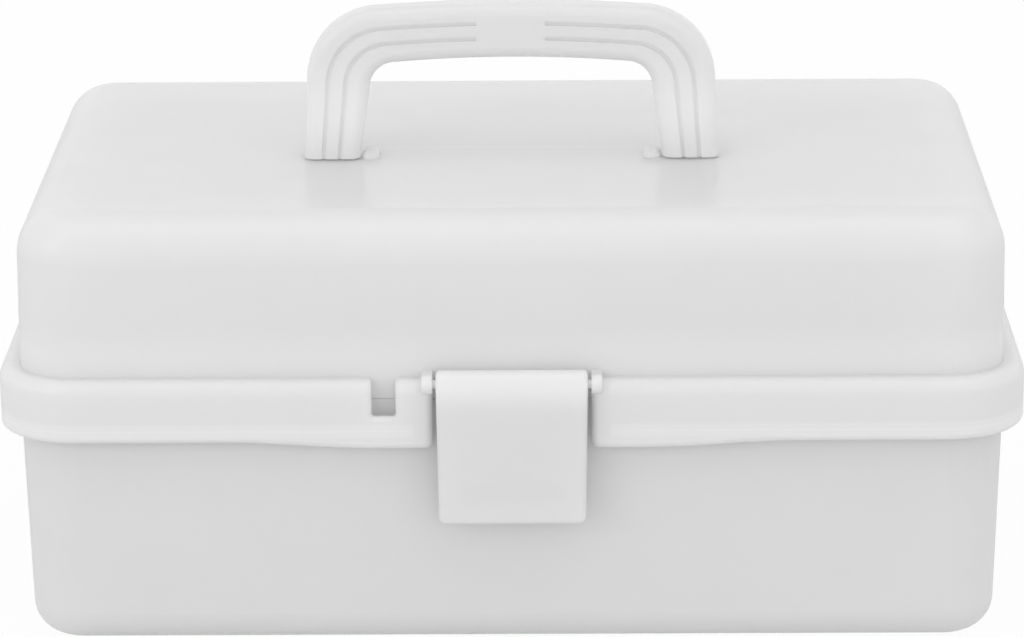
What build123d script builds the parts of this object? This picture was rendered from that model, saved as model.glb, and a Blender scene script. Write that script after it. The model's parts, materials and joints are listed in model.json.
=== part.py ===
from build123d import *
import os
from math import atan2, cos, degrees, radians, sin

# Three-tier storage case in moulded polypropylene, in millimetres.
# X runs along the case, the latch faces -Y, Z is up, and the origin is the middle of the flat
# underside. Everything is drawn with the lid shut and the carry handle upright.

# ---------------------------------------------------------------- driving dimensions
RIM_LENGTH, RIM_DEPTH = 321.0, 200.0      # over the skirt of the lid, the widest part
LID_TOP = 139.6                           # height of the lid's flat top
END_OVERHANG, FRONT_OVERHANG = 6.5, 6.0   # how far the skirt stands out from the walls
RIM_CORNER = 25.0
WALL = 2.0                                # moulded wall
FLOOR = 2.2                               # moulded floor of the base

BASE_DRAFT = 1.85                         # each wall leans in by this towards the floor
BASE_CORNER, BASE_FLOOR_ROUND = 18.4, 10.7
BASE_DRAFT_END = 70.0                     # above this height the walls stand upright
LID_DRAFT = 0.8
LID_CORNER, LID_TOP_ROUND = 17.6, 13.9

SKIRT_LOW, SHOULDER_TOP = 69.5, 89.2      # the lid's skirt and the shoulder that carries it
SKIRT_THICK, SKIRT_LOW_ROUND = 2.6, 2.0
SHOULDER_ROUND, SHOULDER_THICK = 4.0, 2.2
SKIRT_DIP, DIP_OUTER, DIP_INNER = 2.0, 90.0, 42.0   # the skirt hangs lower in the middle
LIP_TOP, LIP_GAP = 82.2, 0.2              # lip of the base, and the lid's wall just over it
FLANGE_LOW, FLANGE_HIGH = 71.4, 75.7      # stiffening flange of the base, inside the skirt
FLANGE_GAP, FLANGE_BREAK = 0.4, 30.5      # flange to skirt, and half its break at the latch

HINGE_Y, HINGE_Z = 104.5, 70.0            # lid hinge axis, along X
HINGE_X, KNUCKLE_WIDTH, KNUCKLE_R = 92.0, 14.0, 3.8
HINGE_LUG_WIDTH, HINGE_PIN_R, HINGE_PIN_HEAD = 5.0, 1.5, 1.2
HINGE_WEB_LOW, HINGE_WEB_HIGH = 56.0, 67.5
SIDE_GAP = 0.4                            # end play between knuckles, lugs and arms
RUNNING_GAP = 0.05                        # radial clearance of a pin in its bore

LATCH_X = 0.4                             # middle of the latch and of the gap it hangs in
LATCH_WIDTH_TOP, LATCH_WIDTH_LOW = 46.9, 45.7
LATCH_AXIS_Y, LATCH_AXIS_Z = -98.9, 88.3
LATCH_BARREL_R, LATCH_PIN_R = 4.4, 1.4
LATCH_LOW, LATCH_FACE_Y, LATCH_PLATE, LATCH_DEPTH = 44.3, -104.7, 1.9, 5.0
HOOD_R, HOOD_TILT = 15.0, 30.0            # the plate curves back by this angle to the barrel
LATCH_LOW_CORNER, LATCH_EDGE_ROUND = 2.4, 1.3
CUTOUT, CUTOUT_ROUND = 49.2, 2.4          # gap in the rim for the latch, rounded in front
CHEEK_THICK, CHEEK_DEPTH = 2.8, 4.9       # side walls of that gap, measured from the front
EAR_THICK, EAR_R, EAR_ROUND, EAR_SKIN = 3.4, 3.0, 1.0, 0.8
CATCH_WIDTH, CATCH_LOW, CATCH_HIGH, CATCH_FACE_Y = 32.0, 57.0, 63.0, -97.9
HOOK_HEIGHT, HOOK_TIP, HOOK_BITE = 4.0, 1.4, 0.5

SLOT_CENTRE_X, SLOT_WIDTH, SLOT_LOW = -39.3, 7.4, 77.8    # padlock slot in the rim
SLOT_CORNER, SLOT_ROUND = 1.0, 1.4

HANDLE_Y, HANDLE_AXIS_Z = -18.0, 146.0    # pivots of the carry handle, along X
HANDLE_DEPTH, HANDLE_EDGE_ROUND = 12.0, 3.6
HANDLE_TOP, HANDLE_ARCH = 190.6, 1.5      # crown of the grip, and how much it arches
GRIP_UNDER = 173.0                        # underside of the grip at its middle
LEG_OUTER_LOW, LEG_OUTER_HIGH = 66.6, 65.4
LEG_INNER_LOW, LEG_INNER_HIGH = 48.5, 45.3
OUTER_CORNER_R, INNER_CORNER_R = 24.0, 8.5
FOOT_LOW = 140.2                          # the feet end just above the lid
GROOVE_WIDTH, GROOVE_DEPTH = 1.3, 0.8
GROOVE_SHARES = (0.34, 0.62)              # groove places, as shares of the handle's width
PLAIN_PANEL_HALF = 11.0                   # the grooves stop here, short of the middle
HANDLE_LUG_THICK, HANDLE_LUG_R, HANDLE_PIN_R = 5.6, 3.8, 1.6
FOOT_MIDDLE_X, FOOT_SKIN = 57.5, 1.8
PAD_WIDTH, PAD_DEPTH, PAD_HEIGHT, PAD_ROUND = 6.0, 9.0, 2.4, 2.2   # low pad beside each foot
TIE_RIB_Y, TIE_RIB_HALF, TIE_RIB_THICK = -7.3, 48.0, 1.2           # rib under the lid's top

ARM_ANGLE, ARM_REACH = 15.0, 90.0         # arms at rest rise by this angle towards the front
LOWER_REACH = 45.0                        # the lower tray hangs at half the arm
ARM_FRONT_Y, ARM_REAR_Y, ARM_PIVOT_Z = 20.0, 75.0, 80.4
ARM_INNER_X, ARM_THICK, ARM_WIDTH, ARM_EDGE = 143.6, 2.4, 11.0, 0.5
RIVET_R, RIVET_HEAD_R, RIVET_HEAD = 2.2, 3.8, 1.1
RIVET_TAIL_R, RIVET_TAIL, RIVET_PLAY = 2.8, 0.9, 0.1
BOSS_R, BOSS_WEB, BOSS_WEB_LENGTH = 5.0, 2.4, 16.0
TRAY_SEAT_R, TRAY_SEAT = 4.4, 2.0         # raised seats for the rivets in a tray's end walls

TRAY_FRONT_Y, TRAY_REAR_Y, TRAY_HALF_X = -80.0, 58.0, 141.4
LOWER_TRAY_LOW, LOWER_TRAY_HIGH = 64.0, 97.0
UPPER_TRAY_LOW, UPPER_TRAY_HIGH = 99.0, 129.0
TRAY_WALL, TRAY_CORNER, TRAY_FLOOR_ROUND, TRAY_DRAFT = 1.8, 9.0, 3.0, 0.8
TRAY_RIM_OUT, TRAY_RIM_HIGH = 1.2, 2.0
SPINE_Y, SPINE_BELOW_RIM = -6.0, 6.0      # the fixed wall along each tray
DIVIDER_THICK, DIVIDER_GAP, DIVIDER_END_GAP = 1.4, 0.15, 0.3
DIVIDER_END_PLAY, DIVIDER_BELOW_RIM = 0.4, 7.0
DIVIDER_CORNER, DIVIDER_DIP_R, DIVIDER_DIP_RISE = 2.6, 14.0, 2.0
RAIL, RAIL_REACH, RAIL_BELOW_RIM = 1.2, 1.4, 9.0    # ribs that hold a divider: width, reach, top
UPPER_DIVIDERS = [("front", -47.0), ("front", 47.0), ("rear", -47.0), ("rear", 47.0)]
LOWER_DIVIDERS = [("front", 0.0), ("rear", -70.0), ("rear", 70.0)]

# ---------------------------------------------------------------- derived sizes
HALF_X, HALF_Y = RIM_LENGTH / 2, RIM_DEPTH / 2
WALL_X, WALL_Y = HALF_X - END_OVERHANG, HALF_Y - FRONT_OVERHANG
SHOULDER_UNDER = SHOULDER_TOP - SHOULDER_THICK
LID_WALL_LOW = LIP_TOP + LIP_GAP
LATCH_BACK_Y = LATCH_FACE_Y + LATCH_PLATE
HANDLE_FRONT_Y = HANDLE_Y - HANDLE_DEPTH / 2
ARM_PIVOTS = {"front": ARM_FRONT_Y, "rear": ARM_REAR_Y}
SIDES = {"left": -1, "right": 1}
NEAR = 0.01                               # for picking edges by their place


# ---------------------------------------------------------------- helpers
def drafted_block(half_x, half_y, corner, low, high, lean):
    """Rounded block whose sides lean inwards by `lean` from its low end to its high end."""
    outline = Plane.XY.offset(low) * RectangleRounded(2 * half_x, 2 * half_y, corner)
    if lean == 0:
        return extrude(outline, high - low)
    return extrude(outline, high - low, taper=degrees(atan2(lean, high - low)))


def span_box(x_low, x_high, y_low, y_high, z_low, z_high):
    size = Box(x_high - x_low, y_high - y_low, z_high - z_low)
    return Pos((x_low + x_high) / 2, (y_low + y_high) / 2, (z_low + z_high) / 2) * size


def rod(radius, x_low, x_high, y, z):
    """Round bar along X."""
    return Pos((x_low + x_high) / 2, y, z) * Rot(0, 90, 0) * Cylinder(radius, x_high - x_low)


def side_profile(points, x_low, x_high):
    """Solid from a closed outline of (y, z) points, extruded along X."""
    outline = make_face(Polyline(*[(x_low, y, z) for y, z in points], close=True))
    return extrude(outline, x_high - x_low, dir=(1, 0, 0))


def edges_at_height(shape, height):
    return [e for e in shape.edges()
            if abs(e.bounding_box().min.Z - height) < NEAR and abs(e.bounding_box().max.Z - height) < NEAR]


def end_face(shape, side):
    """The face furthest out along X on one side."""
    return shape.faces().sort_by(Axis.X)[-1 if side > 0 else 0]


def mirrored(x_low, x_high, side):
    """An X span given on the right, moved to the left when side is -1."""
    return (x_low, x_high) if side > 0 else (-x_high, -x_low)


def on_circle(y, z, radius, angle):
    return y + radius * cos(radians(angle)), z + radius * sin(radians(angle))


def arm_point(pivot_y, reach):
    return on_circle(pivot_y, ARM_PIVOT_Z, reach, 180 - ARM_ANGLE)


# ---------------------------------------------------------------- base
def base_tub():
    low_x, low_y = WALL_X - BASE_DRAFT, WALL_Y - BASE_DRAFT
    low_corner = BASE_CORNER - BASE_DRAFT
    outer = drafted_block(low_x, low_y, low_corner, 0, BASE_DRAFT_END, -BASE_DRAFT)
    outer = fillet(edges_at_height(outer, 0), BASE_FLOOR_ROUND)
    outer += drafted_block(WALL_X, WALL_Y, BASE_CORNER, BASE_DRAFT_END, LIP_TOP, 0)
    inner = drafted_block(low_x - WALL, low_y - WALL, low_corner - WALL,
                          FLOOR, BASE_DRAFT_END, -BASE_DRAFT)
    inner = fillet(edges_at_height(inner, FLOOR), BASE_FLOOR_ROUND - WALL)
    inner += drafted_block(WALL_X - WALL, WALL_Y - WALL, BASE_CORNER - WALL,
                           BASE_DRAFT_END, LIP_TOP + 1, 0)
    return outer + base_flange() - inner


def base_flange():
    """Stiffening flange just inside the skirt, broken in front where the latch hangs."""
    inset = SKIRT_THICK + FLANGE_GAP
    flange = drafted_block(HALF_X - inset, HALF_Y - inset, RIM_CORNER - inset, FLANGE_LOW, FLANGE_HIGH, 0)
    return flange - span_box(LATCH_X - FLANGE_BREAK, LATCH_X + FLANGE_BREAK, -HALF_Y, -WALL_Y,
                             FLANGE_LOW - 1, FLANGE_HIGH + 1)


def hinge_lugs():
    """Two lugs either side of each lid knuckle, reaching out under the skirt."""
    lugs = []
    wall_y = WALL_Y - WALL / 2
    web = [(wall_y, HINGE_WEB_LOW), (wall_y, HINGE_WEB_HIGH), (HALF_Y + 0.5, HINGE_WEB_HIGH)]
    web += [on_circle(HINGE_Y, HINGE_Z, KNUCKLE_R, angle) for angle in (130, 20, -47)]
    for side in SIDES.values():
        for end in (-1, 1):
            inner = side * HINGE_X + end * (KNUCKLE_WIDTH / 2 + SIDE_GAP)
            x_low, x_high = sorted((inner, inner + end * HINGE_LUG_WIDTH))
            lugs.append(side_profile(web, x_low, x_high)
                        + rod(KNUCKLE_R, x_low, x_high, HINGE_Y, HINGE_Z))
    return lugs


def arm_bosses():
    """Seats inside the end walls that the tray arms are riveted to. Above the lip they stand
    clear of the lid's wall."""
    bosses = []
    face_x = ARM_INNER_X + ARM_THICK + SIDE_GAP
    wall_x = WALL_X - WALL
    for side in SIDES.values():
        x_low, x_high = mirrored(face_x, WALL_X - WALL / 2, side)
        clear_low, clear_high = mirrored(wall_x - SIDE_GAP, WALL_X, side)
        for pivot_y in ARM_PIVOTS.values():
            boss = rod(BOSS_R, x_low, x_high, pivot_y, ARM_PIVOT_Z)
            boss -= span_box(clear_low, clear_high, pivot_y - BOSS_R, pivot_y + BOSS_R,
                             LIP_TOP, ARM_PIVOT_Z + BOSS_R)
            web = span_box(x_low, x_high, pivot_y - BOSS_WEB / 2, pivot_y + BOSS_WEB / 2,
                           ARM_PIVOT_Z - BOSS_WEB_LENGTH, ARM_PIVOT_Z)
            bosses.append(boss + web)
    return bosses


def latch_catch():
    """Ledge on the front wall that the latch's hook sits under."""
    root_y = -WALL_Y + WALL / 2
    profile = [(root_y, CATCH_LOW), (CATCH_FACE_Y, CATCH_LOW),
               (CATCH_FACE_Y, CATCH_LOW + WALL), (root_y, CATCH_HIGH)]
    return side_profile(profile, LATCH_X - CATCH_WIDTH / 2, LATCH_X + CATCH_WIDTH / 2)


def base_bin():
    body = base_tub() + hinge_lugs() + arm_bosses() + latch_catch()
    reach = KNUCKLE_WIDTH / 2 + SIDE_GAP + HINGE_LUG_WIDTH + 1
    for side in SIDES.values():
        middle = side * HINGE_X
        body -= rod(HINGE_PIN_R + RUNNING_GAP / 2, middle - reach, middle + reach, HINGE_Y, HINGE_Z)
        for pivot_y in ARM_PIVOTS.values():
            x_low, x_high = mirrored(ARM_INNER_X, WALL_X - WALL, side)
            body -= rod(RIVET_R + RUNNING_GAP / 2, x_low, x_high, pivot_y, ARM_PIVOT_Z)
    return body


# ---------------------------------------------------------------- lid
def lid_cover():
    """Deep cover with its rounded top; the rim is moulded round its lower end."""
    outer = drafted_block(WALL_X, WALL_Y, LID_CORNER, LID_WALL_LOW, LID_TOP, LID_DRAFT)
    outer = fillet(edges_at_height(outer, LID_TOP), LID_TOP_ROUND)
    inner = drafted_block(WALL_X - WALL, WALL_Y - WALL, LID_CORNER - WALL,
                          LID_WALL_LOW, LID_TOP - WALL, LID_DRAFT)
    inner = fillet(edges_at_height(inner, LID_TOP - WALL), LID_TOP_ROUND - WALL)
    return lid_rim() - outer + (outer - inner)


def lid_rim():
    """Shoulder and skirt round the cover, with the gaps for the latch and the padlock."""
    rim = drafted_block(HALF_X, HALF_Y, RIM_CORNER, SKIRT_LOW, SHOULDER_TOP, 0)
    rim = fillet(edges_at_height(rim, SHOULDER_TOP), SHOULDER_ROUND) + skirt_dip()
    rim = rounded_gap(rim, LATCH_X, CUTOUT, SKIRT_LOW - 5, CUTOUT_ROUND)
    rim = rounded_gap(rim, SLOT_CENTRE_X, SLOT_WIDTH, SLOT_LOW, SLOT_ROUND)
    rim = fillet(low_outer_edges(rim), SKIRT_LOW_ROUND)
    room = drafted_block(HALF_X - SKIRT_THICK, HALF_Y - SKIRT_THICK, RIM_CORNER - SKIRT_THICK,
                         SKIRT_LOW - 5, SHOULDER_UNDER, 0)
    room = fillet(edges_at_height(room, SHOULDER_UNDER), SHOULDER_ROUND - SHOULDER_THICK)
    for side in SIDES.values():
        x_low, x_high = mirrored(CUTOUT / 2 - 1, CUTOUT / 2 + CHEEK_THICK, side)
        room -= span_box(LATCH_X + x_low, LATCH_X + x_high, -HALF_Y, -HALF_Y + CHEEK_DEPTH,
                         SKIRT_LOW - 5, SHOULDER_TOP)
    return rim - room


def skirt_dip():
    """The front of the skirt hangs a little lower between two soft bends."""
    low, level = SKIRT_LOW - SKIRT_DIP, ((1, 0), (1, 0))
    bend_x, bend_z = (DIP_OUTER + DIP_INNER) / 2, SKIRT_LOW - SKIRT_DIP / 2
    edge = [Spline((-DIP_OUTER, SKIRT_LOW), (-bend_x, bend_z), (-DIP_INNER, low), tangents=level),
            Line((-DIP_INNER, low), (DIP_INNER, low)),
            Spline((DIP_INNER, low), (bend_x, bend_z), (DIP_OUTER, SKIRT_LOW), tangents=level),
            Polyline((DIP_OUTER, SKIRT_LOW), (DIP_OUTER, SKIRT_LOW + 1), (-DIP_OUTER, SKIRT_LOW + 1),
                     (-DIP_OUTER, SKIRT_LOW))]
    strip = Plane.XZ.offset(HALF_Y - CHEEK_DEPTH) * make_face(edge)
    return extrude(strip, CHEEK_DEPTH)


def rounded_gap(rim, middle, width, low, edge_round):
    """Gap through the front of the rim, open at the shoulder, with its outer edges rounded."""
    x_low, x_high = middle - width / 2, middle + width / 2
    gap = span_box(x_low, x_high, -HALF_Y - 1, -WALL_Y + FRONT_OVERHANG, low, SHOULDER_TOP + 1)
    gap = fillet(gap.edges().filter_by(Axis.Y).group_by(Axis.Z)[0], SLOT_CORNER)
    rim -= gap
    outer_edges = []
    for edge in rim.edges():
        box = edge.bounding_box()
        beside = box.min.X > x_low - NEAR and box.max.X < x_high + NEAR
        in_front = box.max.Y < -HALF_Y + SHOULDER_ROUND + NEAR
        on_top = box.min.Z > SHOULDER_TOP - NEAR and box.min.Y < -WALL_Y
        if beside and (in_front or on_top):
            outer_edges.append(edge)
    return fillet(outer_edges, edge_round)


def low_outer_edges(rim):
    """The low edge of the skirt all round, without the back of the strip that hangs lower."""
    picked = []
    for edge in rim.edges():
        box = edge.bounding_box()
        within_dip = max(abs(box.min.X), abs(box.max.X)) < DIP_OUTER + NEAR
        behind_front = -HALF_Y + NEAR < box.max.Y < 0
        if box.max.Z < SKIRT_LOW + NEAR and not (within_dip and behind_front):
            picked.append(edge)
    return picked


def latch_ears():
    """Ears that carry the latch's pin, standing on the shoulder beside the gap."""
    ears = []
    for side in SIDES.values():
        x_low, x_high = mirrored(CUTOUT / 2, CUTOUT / 2 + EAR_THICK, side)
        x_low, x_high = LATCH_X + x_low, LATCH_X + x_high
        ear = span_box(x_low, x_high, LATCH_AXIS_Y, -WALL_Y + WALL / 2,
                       SHOULDER_UNDER, LATCH_AXIS_Z + EAR_R)
        ear += rod(EAR_R, x_low, x_high, LATCH_AXIS_Y, LATCH_AXIS_Z)
        ears.append(fillet(end_face(ear, side).edges(), EAR_ROUND))
    return ears


def hinge_knuckles():
    """Knuckles of the lid, moulded on the back of the skirt."""
    knuckles = []
    skirt_y = HALF_Y - SKIRT_THICK / 2
    profile = [(skirt_y, SKIRT_LOW), (skirt_y, SKIRT_LOW + 15), (HALF_Y + 1, SKIRT_LOW + 13)]
    profile += [on_circle(HINGE_Y, HINGE_Z, KNUCKLE_R, angle) for angle in (30, -90)]
    profile.append((HALF_Y, SKIRT_LOW))
    for side in SIDES.values():
        x_low, x_high = side * HINGE_X - KNUCKLE_WIDTH / 2, side * HINGE_X + KNUCKLE_WIDTH / 2
        knuckles.append(side_profile(profile, x_low, x_high)
                        + rod(KNUCKLE_R, x_low, x_high, HINGE_Y, HINGE_Z))
    return knuckles


def handle_seats():
    """Pivot lug and low pad for each foot of the handle, and the rib that ties them underneath."""
    seats = []
    root = LID_TOP - WALL / 4
    for side in SIDES.values():
        middle = side * FOOT_MIDDLE_X
        x_low, x_high = middle - HANDLE_LUG_THICK / 2, middle + HANDLE_LUG_THICK / 2
        stem = span_box(x_low, x_high, HANDLE_Y - HANDLE_LUG_R, HANDLE_Y + HANDLE_LUG_R,
                        root, HANDLE_AXIS_Z)
        seats.append(stem + rod(HANDLE_LUG_R, x_low, x_high, HANDLE_Y, HANDLE_AXIS_Z))
        pad_end, pad_top = LEG_INNER_LOW - SIDE_GAP, LID_TOP + PAD_HEIGHT
        x_low, x_high = mirrored(pad_end - PAD_WIDTH, pad_end, side)
        pad = span_box(x_low, x_high, HANDLE_Y - PAD_DEPTH / 2, HANDLE_Y + PAD_DEPTH / 2, root, pad_top)
        seats.append(fillet(pad.edges().filter_by(Axis.Z) + edges_at_height(pad, pad_top), PAD_ROUND))
    under = LID_TOP - WALL
    return seats + [span_box(-TIE_RIB_HALF, TIE_RIB_HALF, TIE_RIB_Y - TIE_RIB_THICK / 2,
                             TIE_RIB_Y + TIE_RIB_THICK / 2, under - TIE_RIB_THICK, under + WALL / 4)]


def lid_shell():
    body = lid_cover() + latch_ears() + hinge_knuckles() + handle_seats()
    reach = CUTOUT / 2 + EAR_THICK - EAR_SKIN
    body -= rod(LATCH_PIN_R + RUNNING_GAP / 2, LATCH_X - reach, LATCH_X + reach, LATCH_AXIS_Y, LATCH_AXIS_Z)
    for side in SIDES.values():
        middle = side * HINGE_X
        body -= rod(HINGE_PIN_R + RUNNING_GAP, middle - KNUCKLE_WIDTH, middle + KNUCKLE_WIDTH,
                    HINGE_Y, HINGE_Z)
        middle = side * FOOT_MIDDLE_X
        body -= rod(HANDLE_PIN_R + RUNNING_GAP / 2, middle - HANDLE_LUG_THICK, middle + HANDLE_LUG_THICK,
                    HANDLE_Y, HANDLE_AXIS_Z)
    return body


# ---------------------------------------------------------------- carry handle
def handle_outline(share, low):
    """Half-open arch: 0 is the outside of the handle, 1 the edge round the finger room.
    Each line goes up the left leg, over the grip and down the right leg."""
    leg_low = LEG_OUTER_LOW + share * (LEG_INNER_LOW - LEG_OUTER_LOW)
    leg_high = LEG_OUTER_HIGH + share * (LEG_INNER_HIGH - LEG_OUTER_HIGH)
    crown = HANDLE_TOP + share * (GRIP_UNDER - HANDLE_TOP)
    corner = OUTER_CORNER_R + share * (INNER_CORNER_R - OUTER_CORNER_R)
    ends = crown - HANDLE_ARCH
    leg = Line((-leg_low, low), (-leg_high, ends - corner))
    bend = RadiusArc((-leg_high, ends - corner), (-leg_high + corner, ends), corner)
    arch = ThreePointArc((-leg_high + corner, ends), (0, crown), (leg_high - corner, ends))
    bend_back = RadiusArc((leg_high - corner, ends), (leg_high, ends - corner), corner)
    leg_back = Line((leg_high, ends - corner), (leg_low, low))
    return leg + bend + arch + bend_back + leg_back


def arch_band(share_out, share_in, low, front_y, depth):
    """Solid band of the arch between two shares of its width, from front_y backwards."""
    outer, inner = handle_outline(share_out, low), handle_outline(share_in, low)
    left = Line(outer @ 0, inner @ 0)
    right = Line(outer @ 1, inner @ 1)
    face = make_face(outer.edges() + inner.edges() + [left, right])
    return extrude(Plane.XZ.offset(-front_y) * face, -depth)


def long_edges(body, y):
    """Edges of the arch in the plane Y = y, apart from the two short ones under the feet."""
    return [e for e in body.edges()
            if abs(e.bounding_box().min.Y - y) < NEAR and abs(e.bounding_box().max.Y - y) < NEAR
            and e.bounding_box().max.Z > FOOT_LOW + 1]


def carry_handle():
    body = arch_band(0, 1, FOOT_LOW, HANDLE_FRONT_Y, HANDLE_DEPTH)
    back_y = HANDLE_FRONT_Y + HANDLE_DEPTH
    body = fillet(long_edges(body, HANDLE_FRONT_Y) + long_edges(body, back_y), HANDLE_EDGE_ROUND)
    for share in GROOVE_SHARES:
        body -= grip_groove(share)
    for side in SIDES.values():
        body -= foot_heel(side)
        body -= foot_socket(side)
        x_low, x_high = mirrored(LEG_INNER_LOW - 1, LEG_OUTER_LOW - FOOT_SKIN, side)
        body -= rod(HANDLE_PIN_R + RUNNING_GAP, x_low, x_high, HANDLE_Y, HANDLE_AXIS_Z)
    return body


def grip_groove(share):
    """Groove along the front of the arch, from the feet up to the plain middle."""
    half = GROOVE_WIDTH / 2 / (LEG_OUTER_LOW - LEG_INNER_LOW)
    groove = arch_band(share - half, share + half, FOOT_LOW - 1, HANDLE_FRONT_Y - 1, GROOVE_DEPTH + 1)
    return groove - span_box(-PLAIN_PANEL_HALF, PLAIN_PANEL_HALF, HANDLE_FRONT_Y - 2,
                             HANDLE_FRONT_Y + GROOVE_DEPTH + 1, GRIP_UNDER - 5, HANDLE_TOP)


def foot_heel(side):
    """What is rounded off the back of a foot, so that it turns just above the lid."""
    x_low, x_high = mirrored(LEG_INNER_LOW - 2, LEG_OUTER_LOW + 2, side)
    corner = span_box(x_low, x_high, HANDLE_Y, HANDLE_Y + HANDLE_DEPTH, FOOT_LOW - 1, HANDLE_AXIS_Z)
    return corner - rod(HANDLE_DEPTH / 2, x_low - 1, x_high + 1, HANDLE_Y, HANDLE_AXIS_Z)


def foot_socket(side):
    """Room in the foot for the lid's lug: open below and behind, so the handle folds back."""
    half = HANDLE_LUG_THICK / 2 + SIDE_GAP
    x_low, x_high = side * FOOT_MIDDLE_X - half, side * FOOT_MIDDLE_X + half
    reach = HANDLE_LUG_R + SIDE_GAP
    room = rod(reach, x_low, x_high, HANDLE_Y, HANDLE_AXIS_Z)
    room += span_box(x_low, x_high, HANDLE_Y - reach, HANDLE_Y + HANDLE_DEPTH, FOOT_LOW - 1, HANDLE_AXIS_Z)
    return room + span_box(x_low, x_high, HANDLE_Y, HANDLE_Y + HANDLE_DEPTH,
                           HANDLE_AXIS_Z - 1, HANDLE_AXIS_Z + reach)


def handle_pin(side):
    """Pin pushed in from the inner side of a foot, its end just inside the surface."""
    x_low, x_high = mirrored(LEG_INNER_LOW + SIDE_GAP, LEG_OUTER_LOW - FOOT_SKIN - SIDE_GAP, side)
    return rod(HANDLE_PIN_R, x_low, x_high, HANDLE_Y, HANDLE_AXIS_Z)


# ---------------------------------------------------------------- latch
def latch_outline():
    """Front view of the latch: a little narrower below, with round lower corners."""
    top, low = LATCH_WIDTH_TOP / 2, LATCH_WIDTH_LOW / 2
    crown = LATCH_AXIS_Z + LATCH_BARREL_R
    outline = Polyline((LATCH_X - top, crown), (LATCH_X + top, crown),
                       (LATCH_X + low, LATCH_LOW), (LATCH_X - low, LATCH_LOW), close=True)
    body = extrude(Plane.XZ.offset(-LATCH_FACE_Y + 1) * make_face(outline), -LATCH_DEPTH - LATCH_BARREL_R)
    return fillet(body.edges().filter_by(Axis.Y).group_by(Axis.Z)[0], LATCH_LOW_CORNER)


def latch_side_view():
    """Side view of the latch: a flat plate whose top curves back onto the barrel."""
    seam = on_circle(LATCH_AXIS_Y, LATCH_AXIS_Z, LATCH_BARREL_R, 180 - HOOD_TILT)
    middle_y = LATCH_FACE_Y + HOOD_R
    seam_y, seam_z = middle_y - HOOD_R * cos(radians(HOOD_TILT)), seam[1]
    hood_low = seam_z - HOOD_R * sin(radians(HOOD_TILT))
    half_y, half_z = on_circle(middle_y, hood_low, HOOD_R, 180 - HOOD_TILT / 2)
    back_y = LATCH_FACE_Y + LATCH_DEPTH
    x = LATCH_X - LATCH_WIDTH_TOP / 2 - 1
    lines = [Line((x, LATCH_FACE_Y, LATCH_LOW - 1), (x, LATCH_FACE_Y, hood_low)),
             ThreePointArc((x, LATCH_FACE_Y, hood_low), (x, half_y, half_z), (x, seam_y, seam_z)),
             Polyline((x, seam_y, seam_z), (x, LATCH_AXIS_Y, LATCH_AXIS_Z), (x, back_y, hood_low),
                      (x, back_y, LATCH_LOW - 1), (x, LATCH_FACE_Y, LATCH_LOW - 1))]
    return extrude(make_face(lines), LATCH_WIDTH_TOP + 2, dir=(1, 0, 0))


def front_latch():
    body = latch_outline() & latch_side_view()
    body = fillet(latch_front_edges(body), LATCH_EDGE_ROUND)
    half = LATCH_WIDTH_LOW / 2 - WALL
    body -= span_box(LATCH_X - half, LATCH_X + half, LATCH_BACK_Y, LATCH_BACK_Y + LATCH_DEPTH,
                     LATCH_LOW + WALL, LATCH_AXIS_Z - LATCH_BARREL_R)
    x_low, x_high = LATCH_X - LATCH_WIDTH_TOP / 2, LATCH_X + LATCH_WIDTH_TOP / 2
    barrel = rod(LATCH_BARREL_R, x_low, x_high, LATCH_AXIS_Y, LATCH_AXIS_Z)
    body += fillet(barrel.edges().filter_by(GeomType.CIRCLE), LATCH_EDGE_ROUND)
    body += latch_hook()
    return body - rod(LATCH_PIN_R + RUNNING_GAP, x_low - 1, x_high + 1, LATCH_AXIS_Y, LATCH_AXIS_Z)


def latch_front_edges(body):
    """The sides and the low end of the face, up to the barrel."""
    picked = []
    for edge in body.edges():
        box = edge.bounding_box()
        across = box.size.X > LATCH_WIDTH_LOW / 2 and box.min.Z > LATCH_LOW + NEAR
        if box.min.Y < LATCH_FACE_Y + NEAR and box.max.Y < LATCH_BACK_Y + NEAR and not across:
            picked.append(edge)
    return picked


def latch_hook():
    """Bead across the back of the plate, just below the catch of the base."""
    root_y, tip_y = LATCH_BACK_Y - WALL / 4, CATCH_FACE_Y - HOOK_BITE
    top = CATCH_LOW - HOOK_BITE
    profile = [(root_y, top), (tip_y, top), (tip_y, top - HOOK_TIP), (root_y, top - HOOK_HEIGHT)]
    return side_profile(profile, LATCH_X - CATCH_WIDTH / 2, LATCH_X + CATCH_WIDTH / 2)


def latch_pin():
    reach = CUTOUT / 2 + EAR_THICK - EAR_SKIN - SIDE_GAP / 2
    return rod(LATCH_PIN_R, LATCH_X - reach, LATCH_X + reach, LATCH_AXIS_Y, LATCH_AXIS_Z)


def hinge_pin(side):
    reach = KNUCKLE_WIDTH / 2 + SIDE_GAP + HINGE_LUG_WIDTH
    shank = rod(HINGE_PIN_R, side * HINGE_X - reach, side * HINGE_X + reach, HINGE_Y, HINGE_Z)
    x_low, x_high = mirrored(HINGE_X + reach, HINGE_X + reach + HINGE_PIN_HEAD, side)
    return shank + rod(HINGE_PIN_R + 1, x_low, x_high, HINGE_Y, HINGE_Z)


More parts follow.
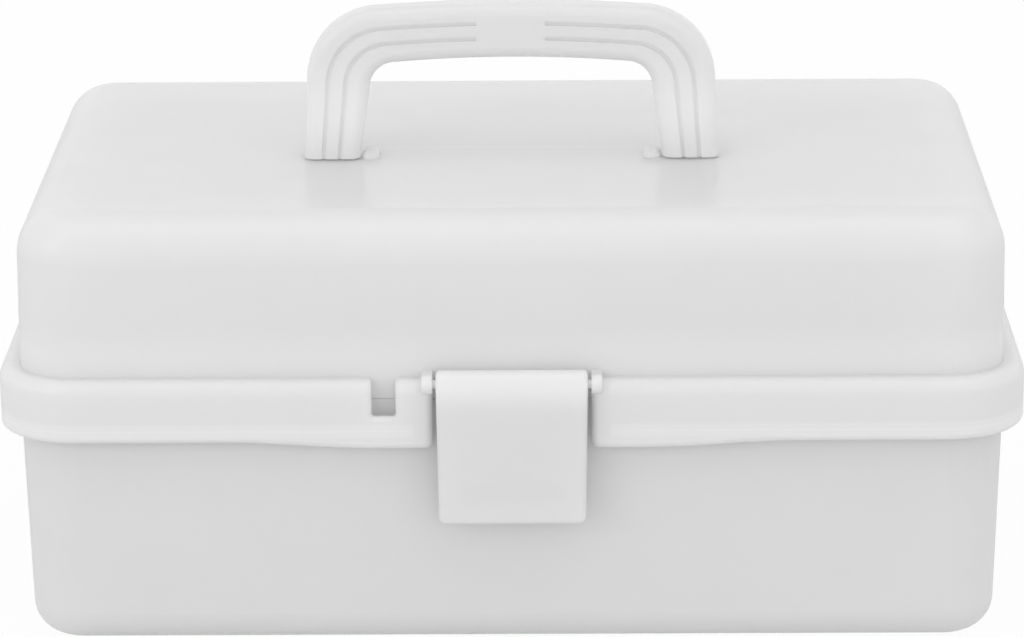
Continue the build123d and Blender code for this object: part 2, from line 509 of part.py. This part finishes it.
# ---------------------------------------------------------------- trays and arms
def swing_arm(which, side):
    """Flat bar with three rivet holes: base, lower tray and upper tray."""
    pivot_y = ARM_PIVOTS[which]
    x_low, x_high = mirrored(ARM_INNER_X, ARM_INNER_X + ARM_THICK, side)
    end_y, end_z = arm_point(pivot_y, ARM_REACH)
    across = 90 - ARM_ANGLE
    ends = [(pivot_y, ARM_PIVOT_Z, across), (pivot_y, ARM_PIVOT_Z, across + 180),
            (end_y, end_z, across + 180), (end_y, end_z, across)]
    bar = side_profile([on_circle(y, z, ARM_WIDTH / 2, angle) for y, z, angle in ends], x_low, x_high)
    bar += rod(ARM_WIDTH / 2, x_low, x_high, pivot_y, ARM_PIVOT_Z)
    bar += rod(ARM_WIDTH / 2, x_low, x_high, end_y, end_z)
    bar = chamfer(end_face(bar, side).edges(), ARM_EDGE)
    for reach in (0, LOWER_REACH, ARM_REACH):
        hole_y, hole_z = arm_point(pivot_y, reach)
        bar -= rod(RIVET_R + 2 * RUNNING_GAP, x_low - 1, x_high + 1, hole_y, hole_z)
    return bar


def base_rivet(pivot_y, side):
    """Headed rivet through the arm into the boss of the base; its head faces the trays."""
    seat = ARM_INNER_X - RIVET_PLAY
    x_low, x_high = mirrored(seat, WALL_X - WALL - SIDE_GAP, side)
    head_low, head_high = mirrored(seat - RIVET_HEAD, seat, side)
    return (rod(RIVET_R, x_low, x_high, pivot_y, ARM_PIVOT_Z)
            + rod(RIVET_HEAD_R, head_low, head_high, pivot_y, ARM_PIVOT_Z))


def tray_rivet(pivot_y, reach, side):
    """Rivet from outside the arm through the tray's end wall, with a small formed head inside."""
    y, z = arm_point(pivot_y, reach)
    outer = ARM_INNER_X + ARM_THICK + RIVET_PLAY
    inner = TRAY_HALF_X - TRAY_WALL - TRAY_SEAT
    shank_low, shank_high = mirrored(inner, outer, side)
    head_low, head_high = mirrored(outer, outer + RIVET_HEAD, side)
    tail_low, tail_high = mirrored(inner - RIVET_TAIL, inner, side)
    return (rod(RIVET_R, shank_low, shank_high, y, z) + rod(RIVET_HEAD_R, head_low, head_high, y, z)
            + rod(RIVET_TAIL_R, tail_low, tail_high, y, z))


def tray_rivets(reach):
    return [tray_rivet(y, reach, side) for side in SIDES.values() for y in ARM_PIVOTS.values()]


def tray(low, high, reach, divider_places):
    """Open tray with a rolled rim, a fixed wall along it, divider rails and rivet seats."""
    body = tray_tub(low, high) + tray_spine(low, high) + rivet_seats(reach)
    body += divider_rails(low, high, divider_places)
    for side in SIDES.values():
        for pivot_y in ARM_PIVOTS.values():
            y, z = arm_point(pivot_y, reach)
            x_low, x_high = mirrored(TRAY_HALF_X - TRAY_WALL - 2 * TRAY_SEAT, ARM_INNER_X, side)
            body -= rod(RIVET_R + RUNNING_GAP / 2, x_low, x_high, y, z)
    return body


def tray_tub(low, high):
    half_x, half_y = TRAY_HALF_X, (TRAY_REAR_Y - TRAY_FRONT_Y) / 2 - TRAY_RIM_OUT
    low_x, low_y = half_x - TRAY_DRAFT, half_y - TRAY_DRAFT
    outer = drafted_block(low_x, low_y, TRAY_CORNER, low, high, -TRAY_DRAFT)
    outer = fillet(edges_at_height(outer, low), TRAY_FLOOR_ROUND)
    outer += drafted_block(half_x, half_y + TRAY_RIM_OUT, TRAY_CORNER + TRAY_RIM_OUT,
                           high - TRAY_RIM_HIGH, high, 0)
    inner = drafted_block(low_x - TRAY_WALL, low_y - TRAY_WALL, TRAY_CORNER - TRAY_WALL,
                          low + TRAY_WALL, high + 1, -TRAY_DRAFT)
    inner = fillet(edges_at_height(inner, low + TRAY_WALL), TRAY_FLOOR_ROUND - TRAY_WALL)
    return Pos(0, (TRAY_FRONT_Y + TRAY_REAR_Y) / 2, 0) * (outer - inner)


def tray_spine(low, high):
    """Fixed wall along the tray, between its end walls."""
    reach = TRAY_HALF_X - TRAY_WALL / 2 - TRAY_DRAFT
    spine = span_box(-reach, reach, SPINE_Y - TRAY_WALL / 2, SPINE_Y + TRAY_WALL / 2,
                     low + TRAY_WALL / 2, high - SPINE_BELOW_RIM)
    return chamfer(spine.edges().filter_by(Axis.Y).group_by(Axis.Z)[0], TRAY_FLOOR_ROUND - TRAY_WALL / 2)


def rivet_seats(reach):
    """Raised washers that hold the tray's end walls clear of the arms."""
    seats = []
    for side in SIDES.values():
        x_low, x_high = mirrored(TRAY_HALF_X - TRAY_WALL - TRAY_SEAT, ARM_INNER_X - SIDE_GAP, side)
        for pivot_y in ARM_PIVOTS.values():
            y, z = arm_point(pivot_y, reach)
            seats.append(rod(TRAY_SEAT_R, x_low, x_high, y, z))
    return seats


def divider_span(row):
    """Front and back end of the front or rear row of compartments, just clear of the walls."""
    edge = TRAY_RIM_OUT + TRAY_DRAFT + TRAY_WALL + DIVIDER_END_GAP
    if row == "front":
        return TRAY_FRONT_Y + edge, SPINE_Y - TRAY_WALL / 2 - DIVIDER_END_GAP
    return SPINE_Y + TRAY_WALL / 2 + DIVIDER_END_GAP, TRAY_REAR_Y - edge


def divider_rails(low, high, places):
    """Pairs of slim upright ribs on the walls that hold each lift-out divider."""
    rails = []
    for row, x in places:
        y_low, y_high = divider_span(row)
        wall_low, wall_high = y_low - TRAY_WALL + DIVIDER_GAP, y_high + 2 * DIVIDER_END_GAP
        for end in (-1, 1):
            rail_x = x + end * (DIVIDER_THICK / 2 + DIVIDER_GAP + RAIL / 2)
            for y_start, y_end in ((wall_low, y_low + RAIL_REACH), (y_high - RAIL_REACH, wall_high)):
                rails.append(span_box(rail_x - RAIL / 2, rail_x + RAIL / 2, y_start, y_end,
                                      low + TRAY_WALL / 2, high - RAIL_BELOW_RIM))
    return rails


def tray_divider(row, x, low, high):
    """Thin lift-out wall with a finger dip in its top edge."""
    y_low, y_high = divider_span(row)
    y_low, y_high = y_low + DIVIDER_END_PLAY, y_high - DIVIDER_END_PLAY
    plate = span_box(x - DIVIDER_THICK / 2, x + DIVIDER_THICK / 2, y_low, y_high,
                     low + TRAY_WALL, high - DIVIDER_BELOW_RIM)
    plate = fillet(plate.edges().filter_by(Axis.X).group_by(Axis.Z)[0], DIVIDER_CORNER)
    return plate - rod(DIVIDER_DIP_R, x - DIVIDER_THICK, x + DIVIDER_THICK,
                       (y_low + y_high) / 2, high + DIVIDER_DIP_RISE)


# ---------------------------------------------------------------- write every sub-part
def all_parts():
    parts = {
        "base_bin": base_bin(),
        "lid_shell": lid_shell(),
        "carry_handle": carry_handle(),
        "front_latch": front_latch(),
        "latch_pin": latch_pin(),
        "lower_tray": tray(LOWER_TRAY_LOW, LOWER_TRAY_HIGH, LOWER_REACH, LOWER_DIVIDERS),
        "upper_tray": tray(UPPER_TRAY_LOW, UPPER_TRAY_HIGH, ARM_REACH, UPPER_DIVIDERS),
        "lower_tray_rivets": Compound(children=tray_rivets(LOWER_REACH)),
        "upper_tray_rivets": Compound(children=tray_rivets(ARM_REACH)),
        "base_arm_rivets": Compound(children=[base_rivet(y, side) for side in SIDES.values()
                                              for y in ARM_PIVOTS.values()]),
    }
    for name, side in SIDES.items():
        parts["handle_pin_" + name] = handle_pin(side)
        parts["hinge_pin_" + name] = hinge_pin(side)
        for which in ARM_PIVOTS:
            parts[which + "_arm_" + name] = swing_arm(which, side)
    for number, (row, x) in enumerate(UPPER_DIVIDERS, 1):
        parts[f"upper_divider_{number}"] = tray_divider(row, x, UPPER_TRAY_LOW, UPPER_TRAY_HIGH)
    for number, (row, x) in enumerate(LOWER_DIVIDERS, 1):
        parts[f"lower_divider_{number}"] = tray_divider(row, x, LOWER_TRAY_LOW, LOWER_TRAY_HIGH)
    return parts


os.makedirs("parts", exist_ok=True)
for node, shape in all_parts().items():
    export_step(shape, f"parts/{node}.step")
    print(node, "volume", round(shape.volume / 1000, 2), "cm3")
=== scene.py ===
# %% [markdown]
# # A milky storage case with a carry handle
# The case is moulded in translucent white polypropylene: a bin, a deep lid with a wide rim, a snap
# latch, a fold-down handle, and inside it two divided trays on swing arms. The CAD model already
# holds every solid in its real shape, so nothing is modelled again here. This notebook aims the
# camera, gives each solid its finish, lays the floor and lights the case.

# %% Load the frame
import json
from math import pi, radians

import bpy
from mathutils import Matrix, Vector


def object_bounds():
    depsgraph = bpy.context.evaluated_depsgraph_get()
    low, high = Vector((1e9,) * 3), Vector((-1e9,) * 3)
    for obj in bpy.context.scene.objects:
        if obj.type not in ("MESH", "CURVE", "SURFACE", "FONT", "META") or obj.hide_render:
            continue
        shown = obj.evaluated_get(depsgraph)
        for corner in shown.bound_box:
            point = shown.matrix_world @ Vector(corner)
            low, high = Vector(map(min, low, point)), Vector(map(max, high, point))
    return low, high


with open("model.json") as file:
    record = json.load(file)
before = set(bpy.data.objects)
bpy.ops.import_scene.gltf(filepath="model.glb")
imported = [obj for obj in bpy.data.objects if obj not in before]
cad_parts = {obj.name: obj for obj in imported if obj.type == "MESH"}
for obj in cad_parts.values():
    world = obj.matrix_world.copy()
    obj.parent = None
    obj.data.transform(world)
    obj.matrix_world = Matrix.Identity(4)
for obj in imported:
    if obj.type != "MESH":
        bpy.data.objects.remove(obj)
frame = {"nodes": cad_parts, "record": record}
cad_low, cad_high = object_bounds()
nodes = frame["nodes"]


def in_mm(low, high):
    """The two corners of a box in millimetres, rounded for print."""
    return [round(value * 1000, 1) for value in (*low, *high)]


print("CAD box in mm:", in_mm(cad_low, cad_high))
print("nodes:", ", ".join(sorted(nodes)))

# %% [markdown]
# ## Camera
# A long lens flattens a product photo. The camera stands 1.4 m before the case and looks down by
# 17 degrees. A Track To constraint could aim it at the case, but would keep it quite level, and a
# camera set up by hand has a slight roll. So it is placed by its position and three plain turns.
# In the product the turn on the right comes first: the roll about the camera's own line of sight,
# then the tilt, then the heading.

# %% Camera
CAMERA_PLACE = Vector((0.0159, -1.3849, 0.5064))
CAMERA_TILT_DOWN, CAMERA_HEADING, CAMERA_ROLL = radians(17.15), radians(0.68), radians(-0.47)
LENS, SENSOR = 154.22, 36.0               # focal length and width of the sensor, mm
CLIP_START, CLIP_END = 0.05, 60.0         # nearest and farthest that the camera sees, m


def aim_camera():
    data = bpy.data.cameras.new("camera")
    data.lens, data.sensor_width, data.sensor_fit = LENS, SENSOR, "HORIZONTAL"
    data.clip_start, data.clip_end = CLIP_START, CLIP_END
    camera = bpy.data.objects.new("camera", data)
    turn = (Matrix.Rotation(CAMERA_HEADING, 4, "Z")
            @ Matrix.Rotation(pi / 2 - CAMERA_TILT_DOWN, 4, "X")
            @ Matrix.Rotation(CAMERA_ROLL, 4, "Z"))
    camera.matrix_world = Matrix.Translation(CAMERA_PLACE) @ turn
    bpy.context.scene.collection.objects.link(camera)
    bpy.context.scene.camera = camera
    print("camera at", tuple(CAMERA_PLACE), "lens", LENS)


aim_camera()

# %% [markdown]
# ## Node helpers
# Every material is a small tree of nodes. By hand each node is added in the shader editor and
# wired with the mouse. In code a few helpers keep that short: they start an empty material, add
# a node and set its sockets, join two sockets, write a grey as a colour, reckon with one Math
# node, and turn a value into a smooth ramp.


# %% Node helpers
def new_material(name):
    material = bpy.data.materials.new(name)
    material.use_nodes = True
    material.node_tree.nodes.clear()
    return material, material.node_tree


def add_node(tree, kind, settings=None, **sockets):
    """New node; settings are its own options, sockets the values of its inputs by name."""
    node = tree.nodes.new(kind)
    for name, value in (settings or {}).items():
        setattr(node, name, value)
    for name, value in sockets.items():
        node.inputs[name.replace("_", " ")].default_value = value
    return node


def join(tree, start, end):
    tree.links.new(start, end)


def grey(value):
    return (value, value, value, 1.0)


def reckon(tree, operation, *values):
    """Output of one Math node; each value is a number or the output of another node."""
    node = add_node(tree, "ShaderNodeMath", {"operation": operation})
    for socket, value in zip(node.inputs, values):
        if isinstance(value, float):
            socket.default_value = value
        else:
            join(tree, value, socket)
    return node.outputs[0]


def ramp(tree, value, start, end, first, last):
    """Smooth change from first to last while the value goes from start to end."""
    node = add_node(tree, "ShaderNodeMapRange", {"interpolation_type": "SMOOTHSTEP"},
                    From_Min=start, From_Max=end, To_Min=first, To_Max=last)
    join(tree, value, node.inputs["Value"])
    return node.outputs["Result"]


HELPERS = (new_material, add_node, join, grey, reckon, ramp)
print("helpers:", ", ".join(helper.__name__ for helper in HELPERS))

# %% [markdown]
# ## Moulded plastic grain
# Polypropylene is never one even grey. Its milkiness comes in faint clouds, the polish of the
# mould changes a little from place to place, and the wall sinks in very shallow waves as it
# cools. Pictures could hold these, but every piece would need its own unwrapping. Noise on Object
# coordinates runs on from piece to piece, so one node group makes the effects for all materials.

# %% Shared group: moulding
MOULDING_INPUTS = {"Tone": 0.8, "Cloud": 0.02, "Polish": 0.3, "Polish Change": 0.05,
                   "Clouds Per Metre": 14.0, "Waves Per Metre": 22.0}
MOULDING_OUTPUTS = {"Color": "NodeSocketColor", "Roughness": "NodeSocketFloat",
                    "Height": "NodeSocketFloat"}
CLOUD_DETAIL, WAVE_DETAIL, NOISE_ROUGHNESS = 3.0, 1.0, 0.5
NOISE_MIDDLE = 0.5                        # a noise runs from 0 to 1 about this value


def moulding_group():
    group = bpy.data.node_groups.new("moulding", "ShaderNodeTree")
    for name, value in MOULDING_INPUTS.items():
        socket = group.interface.new_socket(name, in_out="INPUT", socket_type="NodeSocketFloat")
        socket.default_value = value
    for name, kind in MOULDING_OUTPUTS.items():
        group.interface.new_socket(name, in_out="OUTPUT", socket_type=kind)
    given = group.nodes.new("NodeGroupInput")
    made = group.nodes.new("NodeGroupOutput")
    place = add_node(group, "ShaderNodeTexCoord")

    def noise(scale, detail):
        texture = add_node(group, "ShaderNodeTexNoise", Detail=detail, Roughness=NOISE_ROUGHNESS)
        join(group, place.outputs["Object"], texture.inputs["Vector"])
        join(group, scale, texture.inputs["Scale"])
        return texture.outputs["Fac"]

    def about(centre, spread, pattern):
        """centre + spread * (pattern - NOISE_MIDDLE)"""
        shift = reckon(group, "SUBTRACT", pattern, NOISE_MIDDLE)
        return reckon(group, "MULTIPLY_ADD", shift, spread, centre)

    clouds = noise(given.outputs["Clouds Per Metre"], CLOUD_DETAIL)
    waves = noise(given.outputs["Waves Per Metre"], WAVE_DETAIL)
    tone = about(given.outputs["Tone"], given.outputs["Cloud"], clouds)
    polish = about(given.outputs["Polish"], given.outputs["Polish Change"], clouds)
    colour = add_node(group, "ShaderNodeCombineColor")
    for channel in ("Red", "Green", "Blue"):
        join(group, tone, colour.inputs[channel])
    join(group, colour.outputs["Color"], made.inputs["Color"])
    join(group, polish, made.inputs["Roughness"])
    join(group, waves, made.inputs["Height"])
    return group


MOULDING = moulding_group()
print("node group:", MOULDING.name, "with inputs", ", ".join(MOULDING_INPUTS))

# %% [markdown]
# ## Painted light in the lid
# A milky wall looks a little paler where something lies close behind it, because light scatters
# back through it. Here that light is painted into the tone of the lid. The stiffening flange of
# the base shows through the skirt as a painted pale band with a thin line in it, broken where the
# latch hangs. The rib under the lid's top shows as a faint painted line. Just over the shoulder,
# where the rim shades the wall, the wall is painted paler to lift that shade. A shader that
# scatters light inside the wall could bring the show-through out by itself, but only with long
# renders. Here each painted trace is a change of tone, worked out from Object coordinates, which
# for every node are metres in the case's own frame.

# %% Tone of the lid, with painted light
LID_TONE = 0.93
EDGE = 0.0005                             # how softly a trace ends
FLANGE_MIDDLE, FLANGE_HALF, FLANGE_LINE = 0.07355, 0.00215, 0.0735     # heights
FLANGE_BREAK_MIDDLE, FLANGE_BREAK_HALF = 0.0004, 0.0305                # along the front
FRONT_SURE, FRONT_LIMIT = -0.06, -0.05    # before the first y all is front, behind the last none
RIB_Y, RIB_HALF_LENGTH, RIB_HALF_WIDTH, RIB_END = -0.0073, 0.048, 0.0008, 0.002
UNDER_TOP = 0.137                         # the rib shows in the lid's top alone, from here up
# Painted light: just over the shoulder the wall is painted paler, against the shade where the rim
# meets it.
SHOULDER_ROOT, SHOULDER_REACH = 0.0945, 0.006
# Painted light: how much paler the show-through traces and the shoulder root are painted.
SHOW_THROUGH_PAINTED_LIGHT, SHOULDER_PAINTED_LIGHT = 0.03, 0.035       # how much paler a trace and the root are


def near(tree, value, middle, half, edge=EDGE):
    """1 within half of the middle, and softly down to 0 outside it."""
    away = reckon(tree, "ABSOLUTE", reckon(tree, "SUBTRACT", value, middle))
    return ramp(tree, away, half - edge, half + edge, 1.0, 0.0)


def both(tree, first, second):
    return reckon(tree, "MULTIPLY", first, second)


def painted_flange_light(tree, x, y, z):
    """Painted light of the flange: a pale band and a thin line in it, both broken behind the latch.
    """
    in_front = ramp(tree, y, FRONT_SURE, FRONT_LIMIT, 1.0, 0.0)
    broken = both(tree, near(tree, x, FLANGE_BREAK_MIDDLE, FLANGE_BREAK_HALF), in_front)
    backed = reckon(tree, "SUBTRACT", 1.0, broken)
    band = both(tree, near(tree, z, FLANGE_MIDDLE, FLANGE_HALF), backed)
    line = both(tree, near(tree, z, FLANGE_LINE, EDGE / 2, EDGE / 2), backed)
    return band, line


# Painted light: a faint pale line on the lid's top where the rib lies under it.
def painted_rib_light(tree, x, y, z):
    length = near(tree, x, 0.0, RIB_HALF_LENGTH, RIB_END)
    rib = both(tree, near(tree, y, RIB_Y, RIB_HALF_WIDTH), length)
    return both(tree, rib, ramp(tree, z, UNDER_TOP - EDGE, UNDER_TOP, 0.0, 1.0))


# The lid's own tone, plus the painted light of the show-through traces and of the shoulder root.
def lid_tone_with_painted_light(tree, x, y, z):
    band, line = painted_flange_light(tree, x, y, z)
    rib = painted_rib_light(tree, x, y, z)
    # Painted light over the shoulder, against the shade at the rim's root.
    root = near(tree, z, SHOULDER_ROOT, SHOULDER_REACH, SHOULDER_REACH)
    tone = LID_TONE
    for trace, gain in ((band, SHOW_THROUGH_PAINTED_LIGHT), (line, SHOW_THROUGH_PAINTED_LIGHT), (rib, SHOW_THROUGH_PAINTED_LIGHT), (root, SHOULDER_PAINTED_LIGHT)):
        tone = reckon(tree, "ADD", reckon(tree, "MULTIPLY", trace, gain), tone)
    return tone


print("flange seen through the skirt at", FLANGE_MIDDLE, "m, rib under the top at y", RIB_Y)

# %% [markdown]
# ## Painted light on the latch and the handle
# The rolled top of the latch, which faces the light from above, is painted paler, and the handle is
# painted paler towards its feet. A mask painted on the mesh could follow the forms closely, but
# the change is so soft that this wouldn't show, and a smooth ramp over the height is enough.

# %% Tone of the latch and the handle, with painted light
# Painted light: the gain is how much paler the rolled top of the latch is painted.
LATCH_TONE, LATCH_PAINTED_LIGHT = 0.88, 0.08
LATCH_PLAIN_TO, LATCH_PALE_FROM = 0.079, 0.089
# Painted light: the gain is how much paler the handle is painted towards its feet.
HANDLE_TONE, HANDLE_PAINTED_LIGHT = 0.84, 0.11
HANDLE_PALE_TO, HANDLE_PLAIN_FROM = 0.150, 0.180


# Painted light: paler over the rolled top of the latch.
def latch_tone_with_painted_light(tree, x, y, z):
    return ramp(tree, z, LATCH_PLAIN_TO, LATCH_PALE_FROM, LATCH_TONE, LATCH_TONE + LATCH_PAINTED_LIGHT)


# Painted light: paler towards the feet of the handle.
def handle_tone_with_painted_light(tree, x, y, z):
    return ramp(tree, z, HANDLE_PALE_TO, HANDLE_PLAIN_FROM, HANDLE_TONE + HANDLE_PAINTED_LIGHT, HANDLE_TONE)


print("latch pales over", LATCH_PLAIN_TO, "m, handle under", HANDLE_PLAIN_FROM, "m")

# %% [markdown]
# ## Milky plastic
# Every wall of the case lets part of the light through. A Transparent shader would show sharply
# what lies behind, and a milky wall doesn't. So a Translucent shader is mixed with the glossy
# one: it scatters the light that comes through, and what lies behind only tints it. One function
# builds every plastic from its tone, its polish and the share of light that goes through.

# %% Milky plastic
PLASTIC_IOR = 1.49
WAVE_DEPTH = 0.0006                       # of the shallow waves in a wall
CLOUD, FAINT_CLOUD = 0.02, 0.01           # spread of the tone in milky and in whiter plastic


def plastic(name, tone, polish, through, cloud=CLOUD):
    """A moulded plastic; its tone is one number or a function of the place."""
    material, tree = new_material(name)
    grain = add_node(tree, "ShaderNodeGroup", {"node_tree": MOULDING}, Cloud=cloud, Polish=polish)
    if callable(tone):
        place = add_node(tree, "ShaderNodeTexCoord")
        axes = add_node(tree, "ShaderNodeSeparateXYZ")
        join(tree, place.outputs["Object"], axes.inputs["Vector"])
        join(tree, tone(tree, *axes.outputs), grain.inputs["Tone"])
    else:
        grain.inputs["Tone"].default_value = tone
    bump = add_node(tree, "ShaderNodeBump", Strength=1.0, Distance=WAVE_DEPTH)
    join(tree, grain.outputs["Height"], bump.inputs["Height"])
    gloss = add_node(tree, "ShaderNodeBsdfPrincipled", IOR=PLASTIC_IOR)
    join(tree, grain.outputs["Color"], gloss.inputs["Base Color"])
    join(tree, grain.outputs["Roughness"], gloss.inputs["Roughness"])
    join(tree, bump.outputs["Normal"], gloss.inputs["Normal"])
    glow = add_node(tree, "ShaderNodeBsdfTranslucent")
    join(tree, grain.outputs["Color"], glow.inputs["Color"])
    mix = add_node(tree, "ShaderNodeMixShader", Fac=through)
    join(tree, gloss.outputs["BSDF"], mix.inputs[1])
    join(tree, glow.outputs["BSDF"], mix.inputs[2])
    output = add_node(tree, "ShaderNodeOutputMaterial")
    join(tree, mix.outputs["Shader"], output.inputs["Surface"])
    return material


print("plastic: index of refraction", PLASTIC_IOR, "waves", WAVE_DEPTH, "m deep")

# %% [markdown]
# ## A finish for every piece
# The shell is the milkiest, the trays and dividers are a little paler and duller, the arms and pins
# hold more white pigment and let less light through. Each material slot of the model has one
# plastic. The lid, the latch and the handle have one of their own, because painted light changes
# their tone from place to place.

# %% Finishes
SLOT_FINISHES = {
    "milky_shell": {"tone": 0.905, "polish": 0.20, "through": 0.45},
    "milky_tray": {"tone": 0.95, "polish": 0.28, "through": 0.40},
    "clear_divider": {"tone": 0.92, "polish": 0.26, "through": 0.40},
    "white_moulding": {"tone": 0.84, "polish": 0.26, "through": 0.20, "cloud": FAINT_CLOUD},
    "white_pin": {"tone": 0.86, "polish": 0.45, "through": 0.10, "cloud": FAINT_CLOUD},
}
SLOT_MATERIALS = {slot: plastic(slot, **finish) for slot, finish in SLOT_FINISHES.items()}
NODE_MATERIALS = {
    "lid_shell": plastic("milky_shell_lid", lid_tone_with_painted_light, polish=0.20, through=0.42),
    "front_latch": plastic("white_moulding_latch", latch_tone_with_painted_light, polish=0.26, through=0.35,
                           cloud=FAINT_CLOUD),
    "carry_handle": plastic("white_moulding_handle", handle_tone_with_painted_light, polish=0.24, through=0.35,
                            cloud=FAINT_CLOUD),
}


def finish_nodes():
    """Each CAD node takes its own finish, or else that of its material slot."""
    slot_of = {part["node"]: part["material_slot"] for part in frame["record"]["subparts"]}
    for name, node in nodes.items():
        for slot in node.material_slots:
            slot.material = NODE_MATERIALS.get(name, SLOT_MATERIALS[slot_of[name]])
    print("finished", len(nodes), "nodes in", len(SLOT_MATERIALS) + len(NODE_MATERIALS), "plastics")


finish_nodes()

# %% [markdown]
# ## Floor
# The case stands on a wide white floor. To look white by light alone it would need so much light
# that the case would clip. So its material works in two ways. For the eye, and for what is
# mirrored in a surface or comes through it, the floor is nearly all an even white glow, with a
# little paint that keeps a soft shadow. For the light that it throws back at the case it is plain
# white paint alone.

# %% Floor
FLOOR_HALF = 15.0
FLOOR_WHITE, FLOOR_GLOW = 0.80, 0.95      # tone of the paint, and the share of glow to the eye


def floor_material():
    material, tree = new_material("white_sweep")
    paint = add_node(tree, "ShaderNodeBsdfDiffuse", Color=grey(FLOOR_WHITE))
    glow = add_node(tree, "ShaderNodeEmission", Color=grey(1.0), Strength=1.0)
    ray = add_node(tree, "ShaderNodeLightPath")
    seen = ray.outputs["Is Camera Ray"]
    for kind in ("Is Glossy Ray", "Is Transmission Ray"):
        seen = reckon(tree, "MAXIMUM", seen, ray.outputs[kind])
    mix = add_node(tree, "ShaderNodeMixShader")
    join(tree, reckon(tree, "MULTIPLY", seen, FLOOR_GLOW), mix.inputs["Fac"])
    join(tree, paint.outputs["BSDF"], mix.inputs[1])
    join(tree, glow.outputs["Emission"], mix.inputs[2])
    output = add_node(tree, "ShaderNodeOutputMaterial")
    join(tree, mix.outputs["Shader"], output.inputs["Surface"])
    return material


def lay_floor():
    bpy.ops.object.select_all(action="DESELECT")
    bpy.ops.mesh.primitive_plane_add(size=2 * FLOOR_HALF, location=(0, 0, 0))
    floor = bpy.context.object
    floor.name = "floor"
    floor.data.materials.append(floor_material())


lay_floor()
print("floor", 2 * FLOOR_HALF, "m wide")

# %% [markdown]
# ## Light
# Pale plastic needs light from all round, or its walls turn grey. The world is a pale dome, like
# a light tent, and darker overhead. One large soft box hangs over the front of the case and draws
# the bright band along the front edge of the lid. Two small, weak ones stand left and right before
# it and light the round corners. All are area lamps, because a point lamp or a sun would draw
# hard shadows under the rim.

# %% Light
WORLD_HORIZON, WORLD_ZENITH = 1.20, 0.79
WORLD_FADE_START, WORLD_FADE_END = 0.30, 0.75    # height in the dome, 0 its edge and 1 its top
CASE_MIDDLE = (cad_low + cad_high) / 2
SOFT_BOXES = (                            # name, place, aim, width, height, watts
    ("soft_box_over", (0.0, -0.42, 1.35), (0.0, -0.40, 0.1), 1.4, 1.15, 3.9),
    ("soft_box_left", (-0.95, -1.0, 0.62), CASE_MIDDLE, 0.5, 0.5, 1.6),
    ("soft_box_right", (1.1, -1.0, 0.62), CASE_MIDDLE, 0.5, 0.5, 0.4),
)


def light_world():
    """Pale all round, darker overhead."""
    world = bpy.data.worlds.new("studio")
    bpy.context.scene.world = world
    world.use_nodes = True
    tree = world.node_tree
    tree.nodes.clear()
    place = add_node(tree, "ShaderNodeTexCoord")
    axes = add_node(tree, "ShaderNodeSeparateXYZ")
    join(tree, place.outputs["Generated"], axes.inputs["Vector"])
    strength = ramp(tree, axes.outputs["Z"], WORLD_FADE_START, WORLD_FADE_END,
                    WORLD_HORIZON, WORLD_ZENITH)
    sky = add_node(tree, "ShaderNodeBackground", Color=grey(1.0))
    join(tree, strength, sky.inputs["Strength"])
    output = add_node(tree, "ShaderNodeOutputWorld")
    join(tree, sky.outputs["Background"], output.inputs["Surface"])


def soft_box(name, place, aim, width, height, power):
    data = bpy.data.lights.new(name, "AREA")
    data.shape, data.size, data.size_y, data.energy = "RECTANGLE", width, height, power
    lamp = bpy.data.objects.new(name, data)
    place, aim = Vector(place), Vector(aim)
    turn = (aim - place).to_track_quat("-Z", "Y").to_matrix().to_4x4()
    lamp.matrix_world = Matrix.Translation(place) @ turn
    bpy.context.scene.collection.objects.link(lamp)


light_world()
for box in SOFT_BOXES:
    soft_box(*box)

# %% [markdown]
# ## Colour
# The view transform is Standard, so a grey renders as it is written. A filmic one would soften the
# brightest walls, but would also shift every grey.

# %% Colour
bpy.context.scene.view_settings.view_transform = "Standard"
